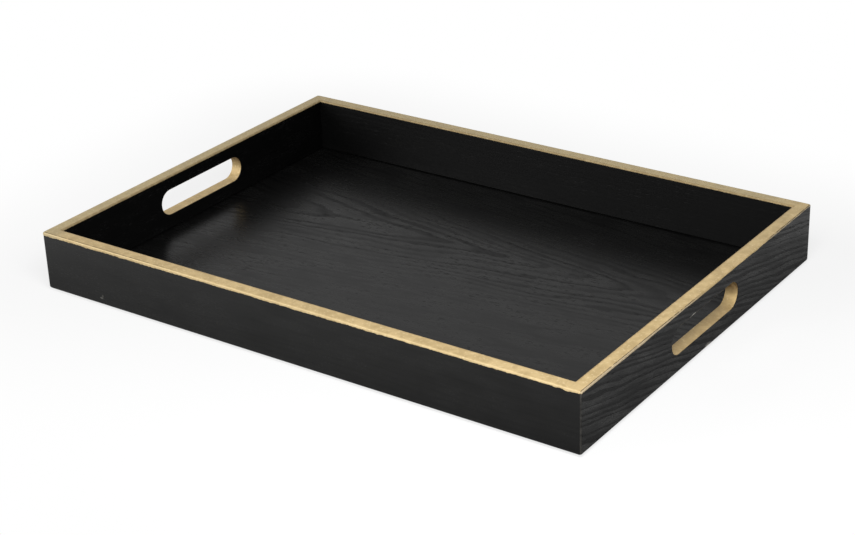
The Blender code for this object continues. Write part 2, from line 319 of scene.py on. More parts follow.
# Drawn steel of the brads, and the stain on them in the gap over the floor
STEEL_DARK = (0.45, 0.45, 0.46, 1)
STEEL_LIGHT = (0.62, 0.62, 0.63, 1)
STEEL_DRAW = (1.0, 1.0, 0.05)
STEEL_CLOUD_SIZE = 0.002
STEEL_MARK_SIZE = 0.0002
STEEL_ROUGHNESS = (0.22, 0.47)
STEEL_RELIEF = (0.3, 0.00005)
STEEL_STAIN = (0.006, 0.006, 0.006, 1)
STEEL_STAIN_LEVELS = (FLOOR_LEVEL - 0.0006, FLOOR_LEVEL - 0.0002)

# The origin, how close to a plane counts as on it, and what counts as straight along an axis and as smooth
ORIGIN = (0.0, 0.0, 0.0)
NEAR = 0.00002
STRAIGHT = 0.99
SMOOTH_DEGREES = 35

# Ground: its tone, how far round the tray its shadow stays, and how far and how dark a painted shadow near
# the tray shows in its reflections
GROUND_TONE = (0.80, 0.80, 0.80, 1)
GROUND_RADIUS = 6.0
GROUND_STEPS = 96
SHADOW_REACH = (0.02, 0.22)
SHADOW_WHITE_SHARE = 0.78
# A painted shadow on the ground in reflections near the tray: its reach and its depth
REFLECTED_SHADOW_REACH = (0.0, 0.13)
REFLECTED_PAINTED_SHADOW = 0.72
REFLECTION_WHITE_SHARE = 0.85

# Studio: each light's place, the place that it points to, its size and its power
WINDOW_LIGHT = ((-1.3, -1.2, 0.75), (0, 0, 0), (1.2, 1.0), 18)
OVERHEAD_LIGHT = ((0.40, -0.44, 0.60), (0.08, -0.06, 0), (0.4, 0.4), 6.6)
WORLD_LIGHT = 0.22
WHITE = (1, 1, 1, 1)

# Camera, and the photograph's frame
CAMERA_PLACE = Vector((0.7331, -1.0250, 0.6084))
CAMERA_AZIMUTH = math.radians(35.612)
CAMERA_ELEVATION = math.radians(25.504)
CAMERA_ROLL = math.radians(-1.9905)
CAMERA_LENS_MM = 80.553
SENSOR_MM = 36.0

# Each board: the way that its outer face points
FACINGS = {
    "front": Vector((0, -1, 0)),
    "back": Vector((0, 1, 0)),
    "left": Vector((-1, 0, 0)),
    "right": Vector((1, 0, 0)),
}
BOARD_NODES = {"front": "front_side", "back": "back_side", "left": "left_end", "right": "right_end"}


# Editing

def activate(piece):
    """Makes a piece the only one selected."""
    bpy.ops.object.select_all(action="DESELECT")
    piece.select_set(True)
    bpy.context.view_layer.objects.active = piece


@contextmanager
def editing(piece):
    """Opens a piece in edit mode with nothing selected, and closes it again."""
    activate(piece)
    bpy.ops.object.mode_set(mode="EDIT")
    bpy.ops.mesh.select_all(action="DESELECT")
    yield
    bpy.ops.object.mode_set(mode="OBJECT")


def select(kind, test):
    """Selects just the vertices, edges or faces of the open mesh that pass a test."""
    bpy.ops.mesh.select_mode(type=kind)
    bpy.ops.mesh.select_all(action="DESELECT")
    mesh = bpy.context.edit_object.data
    work = bmesh.from_edit_mesh(mesh)
    for item in {"VERT": work.verts, "EDGE": work.edges, "FACE": work.faces}[kind]:
        if test(item):
            item.select_set(True)
    bmesh.update_edit_mesh(mesh)


def faces_up(face):
    return face.normal.z > STRAIGHT


def faces_down(face):
    return face.normal.z < -STRAIGHT


def settle(name):
    """Names the new primitive and puts its place, turn and size into its mesh."""
    bpy.ops.object.transform_apply(location=True, rotation=True, scale=True)
    bpy.context.object.name = name
    return bpy.context.object


def box_at(name, size, location, turn=0):
    """A box round its middle, turned about the upright."""
    bpy.ops.object.select_all(action="DESELECT")
    bpy.ops.mesh.primitive_cube_add(size=1, location=location, rotation=(0, 0, turn), scale=size)
    return settle(name)


def cylinder_at(name, radius, depth, steps, location, rotation=(0, 0, 0)):
    """A capped cylinder."""
    bpy.ops.object.select_all(action="DESELECT")
    bpy.ops.mesh.primitive_cylinder_add(vertices=steps, radius=radius, depth=depth,
                                        location=location, rotation=rotation)
    return settle(name)


def copy_of(piece, name):
    """A copy of a piece, with its own mesh."""
    activate(piece)
    bpy.ops.object.duplicate()
    bpy.context.object.name = name
    return bpy.context.object


def finish_with(piece, kind, **settings):
    """Adds a modifier to a piece and applies it."""
    activate(piece)
    modifier = piece.modifiers.new(kind.lower(), kind)
    for name, value in settings.items():
        setattr(modifier, name, value)
    bpy.ops.object.modifier_apply(modifier=modifier.name)


def cut_with(piece, cutter):
    """Cuts one piece out of another and throws the cutter away."""
    finish_with(piece, "BOOLEAN", operation="DIFFERENCE", solver="EXACT", object=cutter)
    bpy.data.objects.remove(cutter, do_unlink=True)


def shade(piece):
    """Smooth shading over the rounded edges, flat over the faces between them."""
    activate(piece)
    bpy.ops.object.shade_smooth_by_angle(angle=math.radians(SMOOTH_DEGREES))
    finish_with(piece, "WEIGHTED_NORMAL", keep_sharp=True)


def ease(test, offset, steps):
    """Rounds the edges of the open mesh that pass a test."""
    select("EDGE", test)
    bpy.ops.mesh.bevel(offset=offset, segments=steps, profile=0.5, affect="EDGES", clamp_overlap=True)


def cut_by_plane(place, normal, **settings):
    """Cuts the whole open mesh by a plane."""
    bpy.ops.mesh.select_all(action="SELECT")
    bpy.ops.mesh.bisect(plane_co=place, plane_no=normal, **settings)


# Boards

def ring_inset(place):
    """How far a place lies inside the boards' outer faces, along X and along Y."""
    return HALF_LENGTH - FILM - abs(place.x), HALF_WIDTH - FILM - abs(place.y)


def on_loop(edge, level, inset):
    """Whether an edge is part of the level loop at an inset from the outer faces."""
    corners = [ring_inset(vert.co) for vert in edge.verts]
    return (all(abs(vert.co.z - level) < NEAR for vert in edge.verts)
            and all(abs(min(corner) - inset) < NEAR for corner in corners)
            and edge.calc_length() > WALL)


def on_corner(edge):
    """Whether an edge runs down one of the tray's outer corners."""
    first, second = (ring_inset(vert.co) for vert in edge.verts)
    middle = (edge.verts[0].co + edge.verts[1].co) / 2
    across, along = ring_inset(middle)
    return (abs(first[0] - first[1]) < NEAR and abs(second[0] - second[1]) < NEAR
            and across < FOOT_ARRIS and abs(across - along) < NEAR)


def hollow_box(low, high):
    """The four walls as one ring, rebated round the lower inside edge."""
    wall = WALL - 2 * FILM
    rebate = REBATE_WIDTH - FILM
    rebate_height = FLOOR_LEVEL - FOOT_LEVEL + SHADOW_GAP
    ring = box_at("walls", high - low, (low + high) / 2)
    with editing(ring):
        select("FACE", faces_up)
        bpy.ops.mesh.inset(thickness=wall)
        bpy.ops.mesh.delete(type="FACE")
        select("FACE", faces_down)
        bpy.ops.mesh.inset(thickness=wall - rebate)
        bpy.ops.mesh.extrude_region_move(TRANSFORM_OT_translate={"value": (0, 0, rebate_height)})
        bpy.ops.mesh.inset(thickness=rebate)
        bpy.ops.mesh.delete(type="FACE")
        select("EDGE", lambda edge: edge.is_boundary)
        bpy.ops.mesh.bridge_edge_loops()
    return ring


def make_ring():
    """The ring of walls, its rim, foot and corners eased."""
    high = Vector((HALF_LENGTH - FILM, HALF_WIDTH - FILM, RIM_LEVEL - FILM))
    low = Vector((-high.x, -high.y, FOOT_LEVEL))
    ring = hollow_box(low, high)
    with editing(ring):
        ease(lambda edge: on_loop(edge, high.z, 0), RIM_ARRIS, ARRIS_STEPS)
        ease(lambda edge: on_loop(edge, high.z, WALL - 2 * FILM), RIM_ARRIS, ARRIS_STEPS)
        ease(lambda edge: on_loop(edge, low.z, 0), FOOT_ARRIS, ARRIS_STEPS)
        ease(on_corner, CORNER_ARRIS, ARRIS_STEPS)
    return ring


def make_board(ring, side):
    """One wall, cut from the ring by the mitre at each of its ends."""
    facing = FACINGS[side]
    along = Vector((-facing.y, facing.x, 0))
    reach = Vector((HALF_LENGTH, HALF_WIDTH, 0))
    board = copy_of(ring, f"{side}_board")
    for end in (-1, 1):
        outward = (end * along - facing).normalized()
        corner = (facing + end * along) * reach
        with editing(board):
            cut_by_plane(corner - outward * MITRE_GAP / 2, outward, use_fill=True, clear_outer=True)
    return board


def outside_slot(place):
    """How far a place lies outside the slot's outline, seen square to the end board."""
    radius = SLOT_HEIGHT / 2
    past_reach = max(abs(place.y) - (SLOT_LENGTH / 2 - radius), 0)
    return math.hypot(past_reach, place.z - SLOT_LEVEL) - radius


def slot_plug(middle_x):
    """A round-ended plug that fills a hand slot: a cylinder with one half drawn out."""
    radius = SLOT_HEIGHT / 2 + FILM
    reach = SLOT_LENGTH / 2 - SLOT_HEIGHT / 2
    plug = cylinder_at("slot_plug", radius, 2 * WALL, SLOT_STEPS, (middle_x, -reach, SLOT_LEVEL),
                       (0, math.radians(90), 0))
    with editing(plug):
        cut_by_plane((middle_x, -reach, SLOT_LEVEL), (0, 1, 0))
        select("FACE", lambda face: face.calc_center_median().y > -reach)
        bpy.ops.mesh.extrude_region_move(TRANSFORM_OT_translate={"value": (0, 2 * reach, 0)})
    return plug


def on_slot_lip(edge):
    """Whether an edge is the slot's outline on a face of the board."""
    first, second = (vert.co for vert in edge.verts)
    return (abs(first.x - second.x) < NEAR
            and all(abs(outside_slot(place) - FILM) < NEAR for place in (first, second)))


def in_slot(face):
    """Whether a face is the slot's inside or the inner part of its eased lip."""
    reach = FILM + SLOT_LIP * SLOT_PAINTED_LIP_SHARE
    return all(outside_slot(vert.co) < reach for vert in face.verts)


def cut_slot(board, side):
    """Cuts the hand slot, eases its lips and takes off a skin of its inside for the paint."""
    cut_with(board, slot_plug(FACINGS[side].x * (HALF_LENGTH - WALL / 2)))
    before = set(bpy.data.objects)
    with editing(board):
        ease(on_slot_lip, SLOT_LIP, ARRIS_STEPS)
        select("FACE", in_slot)
        bpy.ops.mesh.duplicate()
        bpy.ops.mesh.separate(type="SELECTED")
    lining = (set(bpy.data.objects) - before).pop()
    lining.name = f"{side}_slot_paint"
    return lining


def corners_of(side):
    """The tray's two corners at the ends of a board, as in the tongues' names."""
    if side in ("front", "back"):
        return [f"{side}_left", f"{side}_right"]
    return [f"front_{side}", f"back_{side}"]


def groove_cutter(corner):
    """The groove that a tongue sits in, across a mitre."""
    low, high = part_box(f"tongue_{corner}")
    middle = (low + high) / 2
    turn = math.radians(-45 if middle.x * middle.y > 0 else 45)
    return box_at("groove", (GROOVE_LENGTH, GROOVE_WIDTH, high.z - low.z + 2 * FIT_GAP), middle, turn)


def pilot_cutter(node):
    """The hole that a brad sits in."""
    low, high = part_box(node)
    depth = high.z - low.z + FIT_GAP
    place = ((low.x + high.x) / 2, (low.y + high.y) / 2, low.z + depth / 2)
    return cylinder_at("pilot", PILOT_RADIUS, depth, PILOT_STEPS, place)


def cut_joinery(board, side):
    """Cuts the tongue grooves and the brads' pilot holes."""
    for corner in corners_of(side):
        cut_with(board, groove_cutter(corner))
    for node in sorted(nodes_named(f"brad_{side}_")):
        cut_with(board, pilot_cutter(node))


def nodes_named(start):
    """The frame's nodes whose names start so."""
    return [node for node in frame["nodes"] if node.startswith(start)]


# Gold paint's film

def on_inner_faces(place):
    """Whether a place is nearer to the walls' inner faces than to their outer ones."""
    return min(ring_inset(place)) > WALL / 2


def keep_above(level, slopes, inside):
    """Cuts the open skin off below a level, on the outer or on the inner faces of the ring."""
    select("FACE", lambda face: on_inner_faces(face.calc_center_median()) == inside)
    bpy.ops.mesh.bisect(plane_co=(0, 0, level), plane_no=Vector((0, 0, 1)) - slopes, clear_inner=True)


def cut_near_corners():
    """Cuts the open skin across, a little short of each of its corners."""
    for normal, reach in (((1, 0, 0), HALF_LENGTH), ((0, 1, 0), HALF_WIDTH)):
        for way in (-1, 1):
            cut_by_plane(Vector(normal) * way * (reach - PAINT_CORNER_CUT), normal)


def runs_along_board(edge):
    run = edge.verts[1].co - edge.verts[0].co
    return max(abs(run.x), abs(run.y)) > STRAIGHT * run.length


def refine_lengthwise():
    """Divides the long runs of the rim into short steps, twice over."""
    select("EDGE", lambda edge: edge.calc_length() > LONG_RUN)
    bpy.ops.mesh.subdivide(number_cuts=PAINT_CUTS)
    select("EDGE", lambda edge: edge.calc_length() > WALL and runs_along_board(edge))
    bpy.ops.mesh.subdivide(number_cuts=PAINT_CUTS)


def ragged(paint, group, grain, strength):
    """Moves one of the paint's free edges up and down by a cloudy pattern."""
    clouds = bpy.data.textures.new(group, "CLOUDS")
    clouds.noise_scale = grain
    clouds.noise_depth = 1
    finish_with(paint, "DISPLACE", texture=clouds, texture_coords="LOCAL", direction="Z",
                vertex_group=group, strength=strength, mid_level=0.5)


def add_drips(paint):
    """Draws the front edge of the paint down into small drips near the right corner."""
    with editing(paint):
        select("VERT", lambda vert: vert.is_boundary)
        bpy.ops.mesh.hide(unselected=True)
        for place, depth in DRIPS:
            select("VERT", lambda vert: not vert.hide and vert.co.y < 0 and ring_inset(vert.co)[1] < NEAR
                   and abs(vert.co.x - place) < DRIP_TIP)
            bpy.ops.transform.translate(value=(0, 0, -depth), use_proportional_edit=True,
                                        proportional_edit_falloff="SMOOTH", proportional_size=DRIP_WIDTH)
        bpy.ops.mesh.reveal()


def thicken_film(paint):
    """Gives a skin of paint its thickness, outwards."""
    finish_with(paint, "SOLIDIFY", thickness=FILM - FILM_SPARE, offset=1.0, use_even_offset=True)
    paint.vertex_groups.clear()


def make_rim_paint(ring):
    """The film of gold paint over the rim, run a little down both sides of the walls."""
    paint = copy_of(ring, "rim_paint")
    arris_level = RIM_LEVEL - FILM - RIM_ARRIS
    with editing(paint):
        keep_above(arris_level - PAINT_BELOW_ARRIS["outer_edge"], PAINT_SLOPES, False)
        keep_above(arris_level - PAINT_BELOW_ARRIS["inner_edge"], Vector(), True)
        cut_near_corners()
        refine_lengthwise()
        for inside in (False, True):
            select("VERT", lambda vert: vert.is_boundary and on_inner_faces(vert.co) == inside)
            bpy.ops.object.vertex_group_assign_new()
    for group, name in zip(paint.vertex_groups, PAINT_RAGS):
        group.name = name
    for group, patterns in PAINT_RAGS.items():
        for grain, strength in patterns:
            ragged(paint, group, grain, strength)
    add_drips(paint)
    thicken_film(paint)
    return paint


# Felt

def felt_name(node):
    return node.replace("pad", "felt")


def make_felt(node):
    """A felt pad, cut round, its underside eased at the edge and a little dished."""
    low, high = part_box(node)
    depth = FOOT_LEVEL - low.z
    middle = Vector(((low.x + high.x) / 2, (low.y + high.y) / 2, low.z + depth / 2))
    radius = (high.x - low.x) / 2
    felt = cylinder_at(felt_name(node), radius, depth, FELT_STEPS, middle)
    with editing(felt):
        ease(lambda edge: all(abs(vert.co.z - low.z) < NEAR for vert in edge.verts),
             FELT_ARRIS, FELT_ARRIS_STEPS)
        select("FACE", faces_down)
        for _ in range(FELT_RINGS):
            bpy.ops.mesh.inset(thickness=radius / (FELT_RINGS + 2), depth=-FELT_DISH / FELT_RINGS)
    shade(felt)
    return felt


def make_felts():
    """The felt pads, by the nodes that they replace, all copied from the first."""
    first_node, *other_nodes = nodes_named("pad_")
    first = make_felt(first_node)
    felts = {first_node: first}
    for node in other_nodes:
        felt = copy_of(first, felt_name(node))
        with editing(felt):
            bpy.ops.mesh.select_all(action="SELECT")
            bpy.ops.transform.translate(value=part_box(node)[0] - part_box(first_node)[0],
                                        use_proportional_edit=False)
        felts[node] = felt
    return felts


# Shader nodes

def put(tree, kind, inputs=None, **settings):
    """Adds a shader node. Inputs maps a socket to a value or to the socket that feeds it."""
    node = tree.nodes.new(f"ShaderNode{kind}")
    for name, value in settings.items():
        setattr(node, name, value)
    feed(tree, node, inputs or {})
    return node


def feed(tree, node, inputs):
    """Sets a node's sockets, or links them to what feeds them."""
    for socket, value in inputs.items():
        if isinstance(value, bpy.types.NodeSocket):
            tree.links.new(value, node.inputs[socket])
        else:
            node.inputs[socket].default_value = value


def calc(tree, operation, *values):
    """The result of a Math node."""
    return put(tree, "Math", dict(enumerate(values)), operation=operation).outputs[0]


def times(tree, first, second):
    """The product of two values."""
    return calc(tree, "MULTIPLY", first, second)


def vector_calc(tree, operation, *values):
    """The vector that a Vector Math node gives."""
    return put(tree, "VectorMath", dict(enumerate(values)), operation=operation).outputs[0]


def length_of(tree, vector):
    """How long a vector is."""
    return put(tree, "VectorMath", {0: vector}, operation="LENGTH").outputs["Value"]


def split(tree, vector):
    """The three parts of a vector."""
    return put(tree, "SeparateXYZ", {0: vector}).outputs


def fade(tree, value, start, end, low=0.0, high=1.0):
    """A smooth step of a value between a start and an end."""
    node = put(tree, "MapRange", {0: value, 1: start, 2: end, 3: low, 4: high},
               interpolation_type="SMOOTHSTEP")
    return node.outputs[0]


def between(tree, share, low, high):
    """A value from low, where the share is 0, to high, where it is 1."""
    return calc(tree, "MULTIPLY_ADD", share, high - low, low)


def noise(tree, vector, size, detail=2.0, roughness=0.5):
    """Cloudy noise from 0 to 1, its clouds about as large as the size."""
    return put(tree, "TexNoise", {"Vector": vector, "Scale": 1 / size, "Detail": detail,
                                  "Roughness": roughness}).outputs[0]


def tint(tree, factor, first, second):
    """A colour between two others."""
    node = put(tree, "Mix", {0: factor, 6: first, 7: second}, data_type="RGBA")
    return node.outputs[2]


def shader_bump(tree, shader, height, strength, distance):
    """Feeds a height to the shader's normal."""
    bump = put(tree, "Bump", {"Height": height, "Strength": strength, "Distance": distance})
    feed(tree, shader, {"Normal": bump.outputs[0]})


def object_place(tree):
    return put(tree, "TexCoord").outputs["Object"]


def new_group(name, inputs, outputs):
    """A shader group with these inputs and outputs, what it is given, and its output node."""
    tree = bpy.data.node_groups.new(name, "ShaderNodeTree")
    for label, default in inputs.items():
        kind = "NodeSocketVector" if isinstance(default, tuple) else "NodeSocketFloat"
        socket = tree.interface.new_socket(name=label, in_out="INPUT", socket_type=kind)
        socket.default_value = default
    for label in outputs:
        tree.interface.new_socket(name=label, in_out="OUTPUT", socket_type="NodeSocketFloat")
    return tree, tree.nodes.new("NodeGroupInput").outputs, tree.nodes.new("NodeGroupOutput")


GROUPS = {}


def use(tree, group, inputs):
    """Places a group, built the first time that it is asked for, and returns its outputs."""
    if group not in GROUPS:
        GROUPS[group] = group()
    node = tree.nodes.new("ShaderNodeGroup")
    node.node_tree = GROUPS[group]
    feed(tree, node, inputs)
    return node.outputs


# Shader groups

def growth_rings_group():
    """Growth rings as a flat-cut veneer shows them: nested arches where the cut passes the heart."""
    tree, given, result = new_group("growth_rings", {
        "Vector": ORIGIN, "Ring Width": 0.004, "Flare": 0.0, "Heart Depth": 0.010, "Waver": 0.008,
    }, ["Rings", "Bands"])
    rise_shares = (0.30, 0.80)
    fall_shares = (0.88, 1.0)
    bands_to_a_ring = 0.9
    turn = calc(tree, "DIVIDE", ring_reach(tree, given), given["Ring Width"])
    saw = calc(tree, "FRACT", turn)
    rise = fade(tree, saw, *rise_shares)
    fall = fade(tree, saw, *fall_shares, 1.0, 0.0)
    uneven = put(tree, "TexNoise", {"W": turn, "Scale": bands_to_a_ring, "Detail": 3.0, "Roughness": 0.6},
                 noise_dimensions="1D").outputs[0]
    feed(tree, result, {"Rings": times(tree, rise, fall), "Bands": uneven})
    return tree


def ring_reach(tree, given):
    """How far a place lies from the heart of the trunk, with the rings' drift and ripple."""
    drift_size = 0.024
    ripple_size = 0.0050
    ripple_share = 0.25
    stretch = (0.22, 1.0, 1.0)
    drawn_out = vector_calc(tree, "MULTIPLY", given["Vector"], stretch)
    drift = calc(tree, "SUBTRACT", noise(tree, drawn_out, drift_size, 1.0, 0.4), 0.5)
    ripple = calc(tree, "SUBTRACT", noise(tree, drawn_out, ripple_size, 1.0, 0.4), 0.5)
    along, across, _ = split(tree, given["Vector"])
    squares = calc(tree, "ADD", calc(tree, "POWER", across, 2.0),
                   calc(tree, "POWER", given["Heart Depth"], 2.0))
    flaring = calc(tree, "MULTIPLY_ADD", along, given["Flare"], calc(tree, "SQRT", squares))
    wavering = calc(tree, "MULTIPLY_ADD", drift, given["Waver"], flaring)
    return calc(tree, "MULTIPLY_ADD", ripple, times(tree, given["Waver"], ripple_share), wavering)


def open_pores_group():
    """Long narrow pores along the grain, coarse and fine, and the fibres between them."""
    tree, given, result = new_group("open_pores", {
        "Vector": ORIGIN, "Length": 0.008, "Width": 0.0009, "Share": 0.5, "Thread Length": 0.018,
    }, ["Pores", "Fibres"])
    coarse_and_fine = (1.0, 0.6)
    thread_width = 0.0009
    cells = drawn_cells(tree, given["Vector"], given["Length"], given["Width"])
    layers = [pore_layer(tree, cells, given["Share"], size) for size in coarse_and_fine]
    threads = drawn_cells(tree, given["Vector"], given["Thread Length"], thread_width)
    feed(tree, result, {"Pores": calc(tree, "MAXIMUM", *layers),
                        "Fibres": noise(tree, threads, 1.0, 3.0, 0.6)})
    return tree


def drawn_cells(tree, vector, length, width):
    """Places counted in cells that are long along the grain and narrow across it."""
    shape = put(tree, "CombineXYZ", {0: length, 1: width, 2: width}).outputs[0]
    return vector_calc(tree, "DIVIDE", vector, shape)


def pore_layer(tree, cells, share, size):
    """Pores of one size, kept in about a share of the cells."""
    hole_reach = (0.05, 0.42)
    faint_share = 0.25
    spots = put(tree, "TexVoronoi", {"Vector": cells, "Scale": 1 / size, "Randomness": 1.0})
    holes = fade(tree, spots.outputs["Distance"], *hole_reach, 1.0, 0.0)
    chance = put(tree, "SeparateColor", {0: spots.outputs["Color"]}).outputs[0]
    kept = fade(tree, chance, calc(tree, "SUBTRACT", share, faint_share), share, 1.0, 0.0)
    return times(tree, holes, kept)


def rubbed_edges_group():
    """Where the outer edges of the tray are rubbed: near two of its outer faces at once."""
    tree, given, result = new_group("rubbed_edges", {
        "Vector": ORIGIN, "Half Size": (1.0, 1.0, 1.0), "Middle": ORIGIN, "Reach": 0.0015,
        "Amount": 0.5,
    }, ["Rub"])
    patch_size = 0.006
    fullest = 0.75
    centred = vector_calc(tree, "SUBTRACT", given["Vector"], given["Middle"])
    mirrored = vector_calc(tree, "ABSOLUTE", centred)
    x, y, z = split(tree, vector_calc(tree, "SUBTRACT", given["Half Size"], mirrored))
    nearest = calc(tree, "MINIMUM", x, y)
    farther = calc(tree, "MAXIMUM", x, y)
    second = calc(tree, "MAXIMUM", nearest, calc(tree, "MINIMUM", farther, z))
    close = fade(tree, second, 0.0, given["Reach"], 1.0, 0.0)
    patches = fade(tree, noise(tree, given["Vector"], patch_size, 4.0, 0.6),
                   calc(tree, "SUBTRACT", fullest, given["Amount"]), fullest)
    feed(tree, result, {"Rub": times(tree, close, patches)})
    return tree


def knock_group():
    """A small ragged mark round a place."""
    tree, given, result = new_group("knock", {
        "Vector": ORIGIN, "Place": ORIGIN, "Reach": (0.001, 0.001, 0.001)}, ["Knock"])
    tear_size = 0.0006
    ragged_reach = (1.0, 1.35)
    away = vector_calc(tree, "SUBTRACT", given["Vector"], given["Place"])
    distance = length_of(tree, vector_calc(tree, "DIVIDE", away, given["Reach"]))
    torn = calc(tree, "ADD", distance, noise(tree, given["Vector"], tear_size, 3.0, 0.7))
    feed(tree, result, {"Knock": fade(tree, torn, *ragged_reach, 1.0, 0.0)})
    return tree


def unevenness_group():
    """Slow cloudy change and fine speckle over a surface."""
    tree, given, result = new_group("unevenness", {
        "Vector": ORIGIN, "Cloud Size": 0.03, "Speck Size": 0.001,
    }, ["Clouds", "Specks"])
    for label, size, detail in (("Clouds", "Cloud Size", 3.0), ("Specks", "Speck Size", 4.0)):
        many = calc(tree, "DIVIDE", 1.0, given[size])
        node = put(tree, "TexNoise", {"Vector": given["Vector"], "Scale": many, "Detail": detail})
        feed(tree, result, {label: node.outputs[0]})
    return tree


def clouds_and_specks(tree, vector, *sizes):
    """The clouds and the specks of an uneven surface, by their sizes."""
    return use(tree, unevenness_group, dict(zip(("Vector", "Cloud Size", "Speck Size"), (vector, *sizes))))


# Stained veneer

def new_material(name, **constants):
    """A material with its shader's constant sockets set, given with its tree and its shader."""
    material = bpy.data.materials.new(name)
    material.use_nodes = True
    shader = material.node_tree.nodes["Principled BSDF"]
    for label, value in constants.items():
        shader.inputs[label.replace("_", " ")].default_value = value
    return material, material.node_tree, shader


def grain_vector(tree, place, lie, slope, heart):
    """Places in the veneer's own axes: X along the grain, Y across it, measured from the heart line."""
    moved = vector_calc(tree, "SUBTRACT", place, heart)
    along, across = (Vector(way) for way in lie)
    axes = Matrix((along, across, along.cross(across)))
    turn = (Matrix.Rotation(math.radians(-slope), 3, "Z") @ axes).to_euler()
    return put(tree, "Mapping", {"Vector": moved, "Rotation": turn}).outputs[0]


def veneer_figure(tree, grain, look):
    """The growth rings, banded, and strongest within the figure's reach of the heart line."""
    rings = use(tree, growth_rings_group, {
        "Vector": grain, "Ring Width": look.ring_width, "Flare": look.flare,
        "Heart Depth": look.heart_depth, "Waver": look.waver})
    across = calc(tree, "ABSOLUTE", split(tree, grain)[1])
    amount = fade(tree, across, FIGURE_FADE_SHARE * look.figure_reach, look.figure_reach,
                  look.figure, FIGURE_FAR_SHARE * look.figure)
    banded = times(tree, rings["Rings"], fade(tree, rings["Bands"], *FIGURE_BANDS))
    return times(tree, banded, amount)


def veneer_clouds(tree, grain):
    """Slow change in the stain, drawn out along the grain, either side of 0."""
    drawn_out = vector_calc(tree, "MULTIPLY", grain, STAIN_CLOUD_STRETCH)
    clouds, _ = clouds_and_specks(tree, drawn_out, STAIN_CLOUD_SIZE)
    return calc(tree, "SUBTRACT", clouds, 0.5)


def veneer_pores(tree, grain, figured, clouds, look):
    """Open pores, more of them in the clouds and in the rings, and the fibres."""
    cloudy_share = calc(tree, "MULTIPLY_ADD", clouds, PORES_BY_CLOUD, look.flecks)
    share = calc(tree, "ADD", cloudy_share, times(tree, figured, PORES_BY_RING))
    return use(tree, open_pores_group, {"Vector": grain, "Length": look.pore_length,
                                        "Width": look.pore_width, "Share": share,
                                        "Thread Length": look.thread_length})


def stain_level(tree, grain, figured, clouds, fibres, look):
    """How light the stain is, from its darkest at 0 to its lightest at 1."""
    threads = calc(tree, "MULTIPLY_ADD", calc(tree, "SUBTRACT", fibres, 0.5), look.streak, 0.5)
    # Painted light falling off along the board: on the front, lighter towards the left end and darker
    # towards the right
    threads_and_falloff = calc(tree, "MULTIPLY_ADD", split(tree, grain)[0], look.paling, threads)
    mottled = calc(tree, "MULTIPLY_ADD", clouds, look.cloudiness, threads_and_falloff)
    return fade(tree, calc(tree, "MULTIPLY_ADD", figured, RING_DARKENING, mottled), 0.0, 1.0)


def hued(tone, hue):
    """A colour of a tone and a hue."""
    return (*(tone * part for part in hue), 1)


def stain_colour(tree, place, level, pores, look):
    """The stain's colour, with its pores, rubbed edges and knocks."""
    dark, light = (hued(tone, STAIN_HUE) for tone in look.tones)
    stained = tint(tree, level, dark, light)
    pored = tint(tree, times(tree, pores, PORE_SHARE), stained, PORE_TONE)
    rub = use(tree, rubbed_edges_group, {
        "Vector": place, "Half Size": (HALF_LENGTH, HALF_WIDTH, (RIM_LEVEL - FOOT_LEVEL) / 2),
        "Middle": (0.0, 0.0, (RIM_LEVEL + FOOT_LEVEL) / 2), "Amount": RUBBED_AMOUNT})["Rub"]
    colour = tint(tree, times(tree, rub, RUBBED_EDGE_SHARE), pored, RUBBED_TONE)
    for spot, reach, tone in look.marks:
        knock = use(tree, knock_group, {"Vector": place, "Place": spot, "Reach": reach})["Knock"]
        colour = tint(tree, knock, colour, hued(tone, KNOCK_HUE))
    return colour


def stained_veneer(side):
    """Black satin stain over open-grained veneer."""
    look = SimpleNamespace(**{**PLAIN_VENEER, **VENEERS[side]})
    material, tree, shader = new_material(f"{side}_veneer", Specular_IOR_Level=look.gloss, IOR=1.5)
    place = object_place(tree)
    grain = grain_vector(tree, place, look.lie, look.slope, look.heart)
    figured = veneer_figure(tree, grain, look)
    clouds = veneer_clouds(tree, grain)
    pores, fibres = veneer_pores(tree, grain, figured, clouds, look)
    level = stain_level(tree, grain, figured, clouds, fibres, look)
    satin = between(tree, level, look.satin_roughness + SATIN_SPREAD / 2,
                    look.satin_roughness - SATIN_SPREAD / 2)
    feed(tree, shader, {"Base Color": stain_colour(tree, place, level, pores, look),
                        "Roughness": calc(tree, "MULTIPLY_ADD", pores, PORE_DULLING, satin)})
    sunk = times(tree, pores, PORE_DEPTH)
    hollowed = calc(tree, "MULTIPLY_ADD", figured, RING_DEPTH, sunk)
    height = calc(tree, "MULTIPLY_ADD", fibres, look.streak, hollowed)
    shader_bump(tree, shader, height, GRAIN_STRENGTH, look.relief)
    return material


# Gold paint's finish

